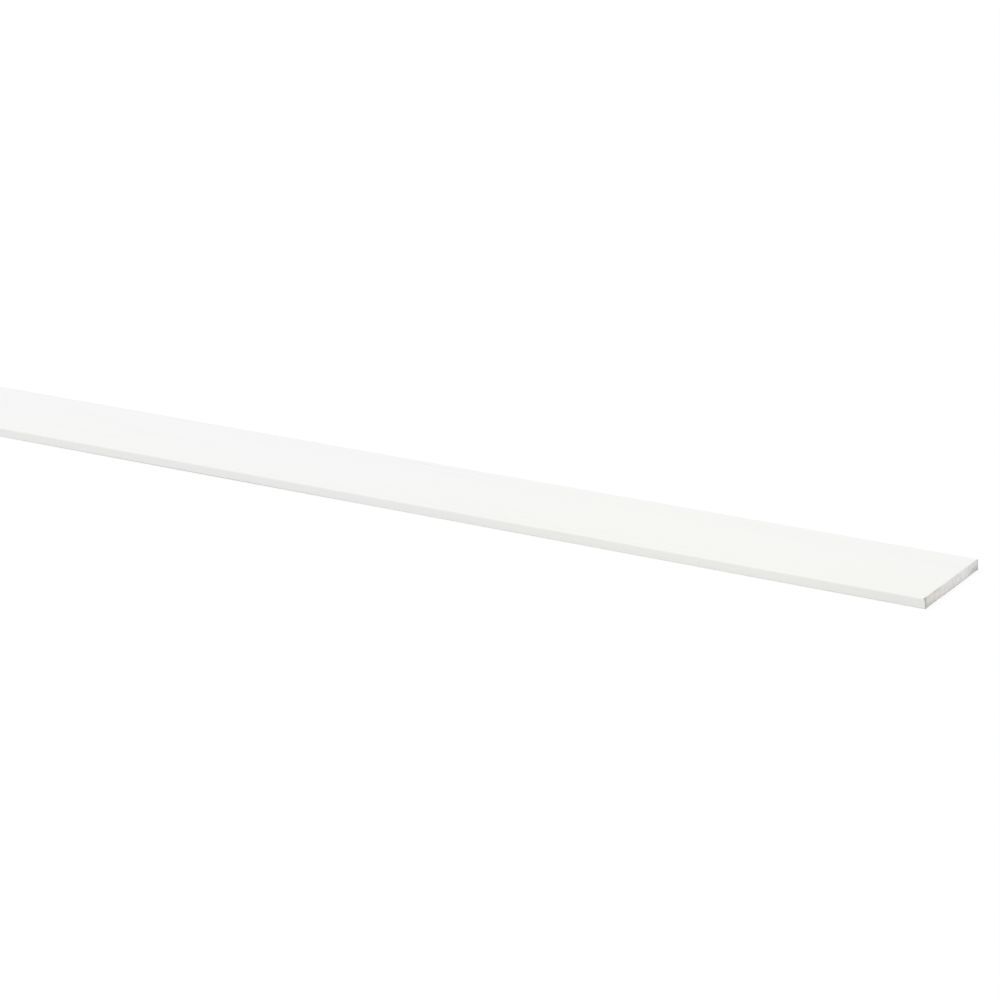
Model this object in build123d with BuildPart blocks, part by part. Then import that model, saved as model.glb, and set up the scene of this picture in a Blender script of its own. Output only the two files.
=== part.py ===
"""Flat white plastic cover strip: one extruded bar with softened long edges, sawn square at both ends."""

import os

from build123d import *

# Driving dimensions, in millimetres.
LENGTH = 1000.0  # stock length between the two sawn ends, along X
WIDTH = 30.0  # across the strip, along Y
THICKNESS = 3.0  # from the back face up to the show face, along Z
SHOW_EDGE_RADIUS = 0.5  # long edges of the show face, softened by the extrusion die
BACK_EDGE_RADIUS = 0.3  # long edges of the back face, tighter so that it sits close to the wall

os.makedirs("parts", exist_ok=True)

# The strip is one extrusion. Its section is drawn with the back face on Z = 0 and centred on the
# width, and runs half the length each way, so the origin is the middle of the back face.
with BuildPart() as cover_strip:
    with BuildSketch(Plane.YZ) as section:
        Rectangle(WIDTH, THICKNESS, align=(Align.CENTER, Align.MIN))
        fillet(section.vertices().group_by(Axis.Y)[-1], radius=SHOW_EDGE_RADIUS)
        fillet(section.vertices().group_by(Axis.Y)[0], radius=BACK_EDGE_RADIUS)
    extrude(amount=LENGTH / 2, both=True)

cover_strip.part.label = "cover_strip"
export_step(cover_strip.part, "parts/cover_strip.step")
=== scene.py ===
"""The white plastic cover strip as it was photographed: the strip, then its floor, light and camera."""

import math

import bmesh
import bpy
from mathutils import Matrix, Vector, noise


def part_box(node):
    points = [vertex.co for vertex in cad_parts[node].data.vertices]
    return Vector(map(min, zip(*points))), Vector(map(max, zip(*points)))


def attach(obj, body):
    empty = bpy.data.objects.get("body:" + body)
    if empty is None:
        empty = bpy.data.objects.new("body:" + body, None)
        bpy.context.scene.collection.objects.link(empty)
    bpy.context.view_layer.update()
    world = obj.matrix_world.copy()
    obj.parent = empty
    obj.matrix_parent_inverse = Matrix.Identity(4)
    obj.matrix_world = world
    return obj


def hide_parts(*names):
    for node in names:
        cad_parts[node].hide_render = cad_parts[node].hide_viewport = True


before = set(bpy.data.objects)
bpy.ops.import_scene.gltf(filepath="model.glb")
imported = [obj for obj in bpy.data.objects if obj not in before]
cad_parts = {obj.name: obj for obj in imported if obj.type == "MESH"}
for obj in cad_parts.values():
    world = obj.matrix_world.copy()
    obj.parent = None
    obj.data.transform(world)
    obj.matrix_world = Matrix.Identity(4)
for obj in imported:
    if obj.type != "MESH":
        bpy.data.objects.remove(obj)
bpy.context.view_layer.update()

# The strip: a flat bar of white rigid plastic, pushed through a die that rounds its four long edges
# and leaves a satin skin with faint lines along it. It is one piece and lies loose on its back face.
MM = 0.001
SHOW_EDGE_RADIUS = 0.5 * MM
BACK_EDGE_RADIUS = 0.3 * MM
EDGE_STEPS = 8  # flat facets round each long edge
CROSS_CUTS = 20  # lengths that the skin is divided into
END_BAND = 4.0 * MM  # the last length at each end
ON_PLANE = 0.01 * MM  # a corner as near to a plane as this lies on it
SKIN_GRAIN_DEPTH = 0.014 * MM
NEUTRAL_WHITE = (0.923, 0.922, 0.929, 1.0)
CREAM_WHITE = (0.928, 0.927, 0.892, 1.0)
SCUFFED_AND_DARKENED_WHITE = (0.815, 0.814, 0.810, 1.0)
CONTACT_SHADE_GREY = (0.530, 0.528, 0.520, 1.0)

low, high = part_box("cover_strip")
size = high - low
middle = (low + high) / 2
END, FRONT, FAR, SHOW = high.x / MM, low.y / MM, high.y / MM, high.z / MM  # its faces, in millimetres
SIDE_TURN = 0.4  # width over which the show face turns into a side, in millimetres as the next two are
END_DARKENING_REACH = 45.0  # skin beside each end that is coloured darker, most on the long sides
SHADE_INSET, SHADE_HEIGHT = (0.55, 0.15), (0.15, 0.40)  # where shade is painted along the lower edges, by the floor

bm = bmesh.new()
bmesh.ops.create_cube(bm, size=1.0, matrix=Matrix.Translation(middle) @ Matrix.Diagonal((*size, 1.0)))


def long_edges(height):
    """The two edges that run the whole length of the bar at this height."""
    level = [e for e in bm.edges if all(abs(v.co.z - height) < ON_PLANE for v in e.verts)]
    return [e for e in level if e.calc_length() > size.x / 2]


def soften(edges, radius, steps):
    """Rounds these edges."""
    bmesh.ops.bevel(
        bm,
        geom=edges,
        offset=radius,
        segments=steps,
        profile=0.5,
        affect="EDGES",
        material=-1,
    )


def cut_across(x):
    """Cuts the skin round the bar at this place along its length."""
    everything = bm.verts[:] + bm.edges[:] + bm.faces[:]
    bmesh.ops.bisect_plane(bm, geom=everything, plane_co=(x, 0, 0), plane_no=(1, 0, 0))


soften(long_edges(high.z), SHOW_EDGE_RADIUS, EDGE_STEPS)
soften(long_edges(low.z), BACK_EDGE_RADIUS, EDGE_STEPS)
for step in range(1, CROSS_CUTS):
    cut_across(low.x + size.x * step / CROSS_CUTS)
cut_across(low.x + END_BAND)
cut_across(high.x - END_BAND)


class Wire:
    """One output of a node. Arithmetic on it adds Math nodes beside it."""

    def __init__(self, nodes, socket):
        self.nodes = nodes
        self.socket = socket

    def maths(self, operation, *terms):
        return self.nodes.node("ShaderNodeMath", {"operation": operation}, dict(enumerate(terms)))

    def __add__(self, other):
        return self.maths("ADD", self, other)

    def __radd__(self, other):
        return self.maths("ADD", other, self)

    def __sub__(self, other):
        return self.maths("SUBTRACT", self, other)

    def __rsub__(self, other):
        return self.maths("SUBTRACT", other, self)

    def __mul__(self, other):
        return self.maths("MULTIPLY", self, other)

    def __rmul__(self, other):
        return self.maths("MULTIPLY", other, self)

    def size(self):
        """The value without its sign."""
        return self.maths("ABSOLUTE", self)

    def rising(self, start, end):
        """0 up to start, 1 from end on, and a smooth step between them."""
        settings = {"interpolation_type": "SMOOTHSTEP"}
        return self.nodes.node(
            "ShaderNodeMapRange", settings, {"Value": self, "From Min": start, "From Max": end}
        )


class Nodes:
    """The node tree of a material or of the world."""

    def __init__(self, owner):
        owner.use_nodes = True
        self.tree = owner.node_tree
        self.tree.nodes.clear()

    def node(self, kind, settings=None, sockets=None, output=0):
        """Adds a node, sets it up, fills its sockets with values or wires, and gives one of its outputs."""
        made = self.tree.nodes.new(kind)
        for name, value in (settings or {}).items():
            setattr(made, name, value)
        for name, value in (sockets or {}).items():
            if isinstance(value, Wire):
                self.tree.links.new(value.socket, made.inputs[name])
            else:
                made.inputs[name].default_value = value
        return Wire(self, made.outputs[output]) if len(made.outputs) else None

    def blend(self, share, first, second):
        """A colour that goes from first to second as share goes from 0 to 1."""
        sockets = {0: share, 6: first, 7: second}
        return self.node("ShaderNodeMix", {"data_type": "RGBA"}, sockets, output=2)

    def part(self, place, axis):
        """How far along one axis a place is, in millimetres."""
        return self.node("ShaderNodeSeparateXYZ", None, {"Vector": place}, output=axis) * (1 / MM)

    def grain(self, place, waves, turn=0.0, detail=2.0, roughness=0.5):
        """Noise with its own number of waves to a unit of length on each axis, turned about the upright."""
        sockets = {"Vector": place, "Rotation": (0.0, 0.0, turn), "Scale": waves}
        stretched = self.node("ShaderNodeMapping", {"vector_type": "POINT"}, sockets)
        sockets = {"Vector": stretched, "Scale": 1.0, "Detail": detail, "Roughness": roughness}
        return self.node("ShaderNodeTexNoise", None, sockets, output="Fac")

    def plastic(self, colour, roughness, height, depth):
        """Opaque plastic with this colour, roughness and surface relief, as the material's surface."""
        sockets = {"Strength": 1.0, "Distance": depth, "Height": height}
        relief = self.node("ShaderNodeBump", None, sockets)
        sockets = {"Base Color": colour, "Roughness": roughness, "Normal": relief}
        surface = self.node("ShaderNodeBsdfPrincipled", None, sockets)
        self.node("ShaderNodeOutputMaterial", None, {"Surface": surface})


skin_material = bpy.data.materials.new("extruded_white_skin")
skin = Nodes(skin_material)
place = skin.node("ShaderNodeTexCoord", output="Object")
die_lines = skin.grain(place, (2.5, 700.0, 700.0), detail=3.0, roughness=0.6)
fine_lines = skin.grain(place, (4.0, 2600.0, 2600.0)).rising(0.35, 0.65)
peel = skin.grain(place, (450.0, 650.0, 650.0))
mottle = skin.grain(place, (9.0, 45.0, 45.0))
yellowed = skin.grain(place, (3.5, 8.0, 8.0)).rising(0.48, 0.66)
handled = skin.grain(place, (16.0, 60.0, 60.0), detail=1.0).rising(0.42, 0.62)
hairlines = skin.grain(place, (14.0, 1900.0, 300.0), turn=math.radians(7)).rising(0.64, 0.72)
crossing = skin.grain(place, (22.0, 1600.0, 300.0), turn=math.radians(-11)).rising(0.66, 0.74)
scuffs = handled * (1 - (1 - hairlines) * (1 - crossing))
along, across, above = (skin.part(place, axis) for axis in "XYZ")
on_a_side = across.size().rising(FAR - SIDE_TURN, FAR)
by_an_end = along.size().rising(END - END_DARKENING_REACH, END)
# The skin is coloured a little darker towards each end, most on the long sides.
end_darkening = by_an_end * (0.06 + 0.26 * on_a_side)
white = skin.blend(0.75 * yellowed + 0.25 * mottle.rising(0.3, 0.7), NEUTRAL_WHITE, CREAM_WHITE)
worn_and_darkened = skin.blend(0.6 * scuffs + 0.12 * fine_lines + 0.12 * die_lines + end_darkening, white, SCUFFED_AND_DARKENED_WHITE)
# Painted shade: a grey line along both lower edges, where the strip meets the floor, stands in for its
# contact shadow.
shaded_lower_rim = across.size().rising(*(FAR - inset for inset in SHADE_INSET)) * (1 - above.rising(*SHADE_HEIGHT))
shade_breakup = skin.grain(place, (5.0, 50.0, 40.0), detail=3.0).rising(0.46, 0.64)
painted_contact_shade = shaded_lower_rim * (0.02 + 0.68 * shade_breakup) * (1 - 0.7 * by_an_end)
skin.plastic(
    colour=skin.blend(painted_contact_shade, worn_and_darkened, CONTACT_SHADE_GREY),
    roughness=0.38 + 0.04 * die_lines + 0.02 * fine_lines + 0.14 * scuffs,
    height=0.2 * die_lines + 0.03 * fine_lines + 0.6 * peel - 0.4 * scuffs,
    depth=SKIN_GRAIN_DEPTH,
)

# The sawn ends: a fine-toothed blade has left shallow arcs across each cut and a thin ragged burr
# along its back edge and front corner. It tore the far back corner. Grey dust sits in the burr, and painted
# shade darkens the cut along its edges and corners.
SAWN = 1  # the ends' place in the strip's list of finishes
ARRIS, ARRIS_STEPS = 0.1 * MM, 3  # the eased corner round each end
CUT_GRID, SNAP = 0.1 * MM, 0.002 * MM  # squares on the cut, and the gap under which corners join
SAWN_GRAIN_DEPTH = 0.05 * MM
BLADE_CENTRE = Vector((0.0, -62.0, 92.0))  # from the middle of the strip's back face, in millimetres
BLADE_RADIUS = 108.0  # in millimetres, as are the sizes down to the colours
CHATTER = 0.55  # from one arc to the next
ARC_HEIGHT, DRAG_HEIGHT, LUMP_HEIGHT = 0.010, 0.018, 0.030
PIT_DEPTH = 0.10
BACK_LIP, BACK_RAGS, BACK_WIDTH = 0.05, 0.22, 0.11  # the burr's least height, its rags and its width
FRONT_LIP, FRONT_RAGS, FRONT_WIDTH = 0.12, 0.14, 0.13
TORN_PLACE, TORN_REACH, TORN_DEPTH = (FAR - 2.6, 0.5), (2.4, 0.8), 0.16
CHIP_REACH, CHIP_DEPTH = 0.45, 0.32
EASED_REACH, EASED_DEPTH = 0.10, 0.06
WARMED_WHITE = (0.873, 0.838, 0.806, 1.0)
ROSY_WHITE = (0.915, 0.888, 0.884, 1.0)
CUT_WHITE = (0.930, 0.925, 0.917, 1.0)
GREYED_WHITE = (0.815, 0.826, 0.810, 1.0)
DULL_WHITE = (0.770, 0.757, 0.738, 1.0)
DUST_AND_SHADE_GREY = (0.440, 0.425, 0.392, 1.0)


def sawn_relief(y, z, seed):
    """How far the cut stands out of its plane at a place on it, all in millimetres."""
    reach = math.hypot(y - BLADE_CENTRE.y, z - BLADE_CENTRE.z)
    swing = math.atan2(z - BLADE_CENTRE.z, y - BLADE_CENTRE.y) * BLADE_RADIUS
    wander = noise.noise((reach * 0.7, swing * 0.25, seed))
    arcs = ARC_HEIGHT * math.sin(math.tau * reach / CHATTER + 2.5 * wander)
    drag = DRAG_HEIGHT * noise.noise((reach * 4.5, swing * 0.35, seed + 10))
    lumps = LUMP_HEIGHT * noise.noise((y * 0.8, z * 0.8, seed + 20))
    pits = -PIT_DEPTH * max(0.0, noise.noise((y * 2.2, z * 2.2, seed + 30)) - 0.3)
    back_lip = BACK_LIP + BACK_RAGS * max(0.0, 0.35 + noise.noise((y * 1.3, 0.0, seed + 40)))
    front_lip = FRONT_LIP + FRONT_RAGS * max(0.0, 0.35 + noise.noise((z * 1.6, 5.0, seed + 50)))
    burr = back_lip * math.exp(-z / BACK_WIDTH) + front_lip * math.exp((FRONT - y) / FRONT_WIDTH)
    torn_y, torn_z = ((p - q) / r for p, q, r in zip((y, z), TORN_PLACE, TORN_REACH))
    rough = 1.0 + 0.9 * noise.noise((y * 1.9, z * 1.9, seed + 60))
    torn = -TORN_DEPTH * rough * math.exp(-torn_y * torn_y - torn_z * torn_z)
    chip = -CHIP_DEPTH * math.exp(-(((y - FRONT) ** 2 + (z - SHOW) ** 2) / CHIP_REACH**2))
    eased = -EASED_DEPTH * math.exp((z - SHOW) / EASED_REACH)
    return arcs + drag + lumps + pits + burr + torn + chip + eased


def saw_end(x, outward, seed):
    """Eases the corner round one end, cuts its face into a fine grid and lifts that to the saw's marks."""
    soften([e for e in bm.edges if all(abs(v.co.x - x) < ON_PLANE for v in e.verts)], ARRIS, ARRIS_STEPS)
    faces = [f for f in bm.faces if abs(f.calc_center_median().x - x) < ARRIS + ON_PLANE]
    cut = [*faces, *dict.fromkeys(item for f in faces for item in (*f.edges, *f.verts))]
    columns, rows = round(size.y / CUT_GRID), round(size.z / CUT_GRID)
    planes = [((0, 0, low.z + size.z * row / rows), (0, 0, 1)) for row in range(1, rows)]
    planes += [((0, low.y + size.y * column / columns, 0), (0, 1, 0)) for column in range(1, columns)]
    for point, normal in planes:
        cut = bmesh.ops.bisect_plane(bm, geom=cut, dist=SNAP, plane_co=point, plane_no=normal)["geom"]
    corners = [item for item in cut if isinstance(item, bmesh.types.BMVert)]
    bmesh.ops.remove_doubles(bm, verts=corners, dist=SNAP)
    for item in (item for item in cut if item.is_valid):
        if isinstance(item, bmesh.types.BMFace):
            item.material_index = SAWN
        elif isinstance(item, bmesh.types.BMVert):
            item.co.x += outward * MM * sawn_relief(item.co.y / MM, item.co.z / MM, seed)


saw_end(high.x, outward=1, seed=3.0)
saw_end(low.x, outward=-1, seed=70.0)

sawn_material = bpy.data.materials.new("sawn_white_end")
sawn = Nodes(sawn_material)
place = sawn.node("ShaderNodeTexCoord", output="Object")
across, above = sawn.part(place, "Y"), sawn.part(place, "Z")
flat_place = sawn.node("ShaderNodeCombineXYZ", None, {"Y": across, "Z": above})
from_blade = sawn.node(
    "ShaderNodeVectorMath", {"operation": "DISTANCE"}, {0: flat_place, 1: BLADE_CENTRE}, output="Value"
)
swept = sawn.node("ShaderNodeCombineXYZ", None, {"X": from_blade, "Y": across})
drag = sawn.grain(swept, (3.2, 0.25, 1.0), detail=3.0, roughness=0.6)
speckle = sawn.grain(place, (900.0, 900.0, 900.0), detail=4.0, roughness=0.65)
patches = sawn.grain(place, (260.0, 260.0, 260.0))
clumps = sawn.grain(place, (700.0, 700.0, 700.0), detail=3.0)
ragged = 0.8 * (clumps - 0.5)
back_burr = 1 - (above + 2.0 * ragged).rising(0.05, 0.60)
front_burr = 1 - (across + ragged).rising(FRONT + 0.3, FRONT + 2.0)
far_burr = (across + ragged).rising(FAR - 1.6, FAR - 0.3)
torn_corner = (across + ragged).rising(FAR - 6.0, FAR - 2.5) * (1 - (above + ragged).rising(0.6, 2.0))
near_foot = (1 - across.rising(FRONT + 3.0, FRONT + 10.0)) * (1 - (above + 2.0 * ragged).rising(0.4, 1.6))
caught = clumps.rising(0.32, 0.60)


def free_of_dust_and_shade(spots, least, clumped):
    """The share of plastic that shows where dust and painted shade sit in these spots, less of it where the
    dust clumps.
    """
    return 1 - spots * (least + clumped * caught)


drifting = across + 8.0 * (patches - 0.5)
smeared = (above + ragged).rising(SHOW - 1.1, SHOW - 0.2) * (1 - drifting.rising(FRONT + 6.0, FRONT + 12.0))
# Dust and painted shade: the cut is darkened along its back edge by the floor, at its front and far corners
# and round its bottom corners.
clear_of_dust_and_shade = free_of_dust_and_shade(back_burr, 0.12, 0.52) * free_of_dust_and_shade(front_burr, 0.50, 0.30)
clear_of_dust_and_shade = clear_of_dust_and_shade * free_of_dust_and_shade(far_burr, 0.10, 0.20) * free_of_dust_and_shade(torn_corner, 0.24, 0.36)
clear_of_dust_and_shade = clear_of_dust_and_shade * free_of_dust_and_shade(near_foot, 0.05, 0.25) * (1 - 0.16 * smeared)
bare = sawn.blend(drifting.rising(FRONT + 3.0, FRONT + 13.0), WARMED_WHITE, ROSY_WHITE)
bare = sawn.blend(drifting.rising(FRONT + 15.0, FRONT + 21.0), bare, CUT_WHITE)
bare = sawn.blend(drifting.rising(FAR - 9.0, FAR - 1.0), bare, GREYED_WHITE)
blotches = sawn.grain(place, (560.0, 560.0, 560.0)).rising(0.46, 0.64)
dull = 0.60 * speckle.rising(0.42, 0.72) + 0.35 * drag.rising(0.5, 0.75) + 0.40 * blotches
marked = sawn.blend(dull, bare, DULL_WHITE)
sawn.plastic(
    colour=sawn.blend(clear_of_dust_and_shade, DUST_AND_SHADE_GREY, marked),
    roughness=0.60 + 0.25 * speckle,
    height=0.6 * drag + 0.4 * speckle,
    depth=SAWN_GRAIN_DEPTH,
)

# The skin and the two cut ends make up the one piece.
SHARP = math.radians(38)  # a corner that turns by more than this stays hard
bm.normal_update()
for edge in bm.edges:
    edge.smooth = edge.calc_face_angle(0.0) < SHARP
for face in bm.faces:
    face.smooth = True

MARGIN = 0.006  # round the flat layout of the finish, which is one wide and one high
SKIN_HEIGHT, END_HEIGHT = 0.60, 0.185
RIGHT_END_LEVEL, LEFT_END_LEVEL = 0.615, 0.808


def round_the_bar(normal, spot):
    """How far round the bar a spot on its skin is: over the back, far side, show face and front in turn."""
    if abs(normal.z) < abs(normal.y):
        return size.y + spot.z - low.z if normal.y > 0 else 2 * size.y + size.z + high.z - spot.z
    return spot.y - low.y if normal.z < 0 else size.y + size.z + high.y - spot.y


def on_the_flat(face, spot):
    """Where a corner of a face lies on the flat layout: the skin unrolled below, and the two ends above."""
    if face.material_index == SAWN:
        level = RIGHT_END_LEVEL if spot.x > middle.x else LEFT_END_LEVEL
        sideways, upward = (spot.y - low.y) / size.y, level + END_HEIGHT * (spot.z - low.z) / size.z
    else:
        sideways = (spot.x - low.x) / size.x
        upward = MARGIN + SKIN_HEIGHT * round_the_bar(face.normal, spot) / (2 * size.y + 2 * size.z)
    return MARGIN + (1 - 2 * MARGIN) * sideways, upward


flat_layout = bm.loops.layers.uv.new("OFBake")
for face in bm.faces:
    for corner in face.loops:
        corner[flat_layout].uv = on_the_flat(face, corner.vert.co)
strip_mesh = bpy.data.meshes.new("trim_strip")
bm.to_mesh(strip_mesh)
bm.free()
strip_mesh.materials.append(skin_material)
strip_mesh.materials.append(sawn_material)
strip = bpy.data.objects.new("trim_strip", strip_mesh)
bpy.context.scene.collection.objects.link(strip)
even_shading = strip.modifiers.new("even shading", "WEIGHTED_NORMAL")
even_shading.keep_sharp = True
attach(strip, "root")
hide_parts("cover_strip")

# The floor: a plain white sheet, wide enough that no view sees its edge. The camera sees it as white
# paper that still takes the strip's shadow.
FLOOR_SIDE = 30.0  # metres
FLOOR_GAP = 0.02 * MM
PAPER = (0.79, 0.79, 0.79, 1.0)
PAPER_GLOW, GLOW_SHARE = 1.13, 0.65
WHITE = (1.0, 1.0, 1.0, 1.0)
SEEN_RAYS = ("Is Camera Ray", "Is Glossy Ray", "Is Transmission Ray")


def seen(nodes):
    """1 for a ray that comes from the camera, straight, by a reflection or through glass, and else 0."""
    camera_ray, glossy_ray, clear_ray = (nodes.node("ShaderNodeLightPath", output=r) for r in SEEN_RAYS)
    return 1 - (1 - camera_ray) * (1 - glossy_ray) * (1 - clear_ray)


bm = bmesh.new()
bmesh.ops.create_grid(bm, x_segments=1, y_segments=1, size=FLOOR_SIDE / 2)
bmesh.ops.translate(bm, vec=(0, 0, low.z - FLOOR_GAP), verts=bm.verts)
floor_mesh = bpy.data.meshes.new("floor")
bm.to_mesh(floor_mesh)
bm.free()
floor_material = bpy.data.materials.new("white_floor")
paper = Nodes(floor_material)
lit = paper.node("ShaderNodeBsdfDiffuse", None, {"Color": PAPER})
glow = paper.node("ShaderNodeEmission", None, {"Color": WHITE, "Strength": PAPER_GLOW})
sheet = paper.node("ShaderNodeMixShader", None, {0: seen(paper) * GLOW_SHARE, 1: lit, 2: glow})
paper.node("ShaderNodeOutputMaterial", None, {"Surface": sheet})
floor_mesh.materials.append(floor_material)
floor = bpy.data.objects.new("floor", floor_mesh)
bpy.context.scene.collection.objects.link(floor)

# The light: an even white room, and a wide soft lamp overhead, a little to the front and the left.
ROOM = 0.82
LAMP_STRENGTH = 0.63
LAMP_WIDTH = math.radians(70)
LAMP_AIM = Vector((0.25, 0.35, -0.90))
world = bpy.data.worlds.new("white_room")
bpy.context.scene.world = world
room = Nodes(world)
brightness = ROOM + (1 - ROOM) * seen(room)
backdrop = room.node("ShaderNodeBackground", None, {"Color": WHITE, "Strength": brightness})
room.node("ShaderNodeOutputWorld", None, {"Surface": backdrop})
lamp_data = bpy.data.lights.new("soft_lamp", "SUN")
lamp_data.energy = LAMP_STRENGTH
lamp_data.angle = LAMP_WIDTH
lamp = bpy.data.objects.new("soft_lamp", lamp_data)
lamp.rotation_euler = LAMP_AIM.to_track_quat("-Z", "Y").to_euler()
bpy.context.scene.collection.objects.link(lamp)

# The camera: a long lens near the right end, looking along the strip from in front and above, and
# turned a little about its own line of sight.
AZIMUTH, ELEVATION, ROLL = math.radians(35.355), math.radians(20.559), math.radians(-3.723)
DISTANCE, ASIDE, RAISED = 896.42 * MM, 115.837 * MM, 21.455 * MM  # from the middle of the right end
FOCAL_PIXELS, FRAME_PIXELS = 3496.0, 1000
SENSOR = 36.0  # millimetres
NEAREST, FURTHEST = 0.01, 100.0  # metres that the camera sees between
back = Vector((math.sin(AZIMUTH), -math.cos(AZIMUTH), math.tan(ELEVATION))).normalized()
level = Vector((0, 0, 1)).cross(back).normalized()
upright = back.cross(level)
right = math.cos(ROLL) * level + math.sin(ROLL) * upright
up = math.cos(ROLL) * upright - math.sin(ROLL) * level
near_end = Vector((high.x, middle.y, middle.z))
turn = Matrix((right, up, back)).transposed().to_4x4()
camera_data = bpy.data.cameras.new("camera")
camera_data.sensor_width = SENSOR
camera_data.lens = SENSOR * FOCAL_PIXELS / FRAME_PIXELS
camera_data.clip_start, camera_data.clip_end = NEAREST, FURTHEST
camera = bpy.data.objects.new("camera", camera_data)
camera.matrix_world = Matrix.Translation(near_end + back * DISTANCE - right * ASIDE + up * RAISED) @ turn
bpy.context.scene.collection.objects.link(camera)
bpy.context.scene.camera = camera
bpy.context.scene.view_settings.view_transform = "Standard"
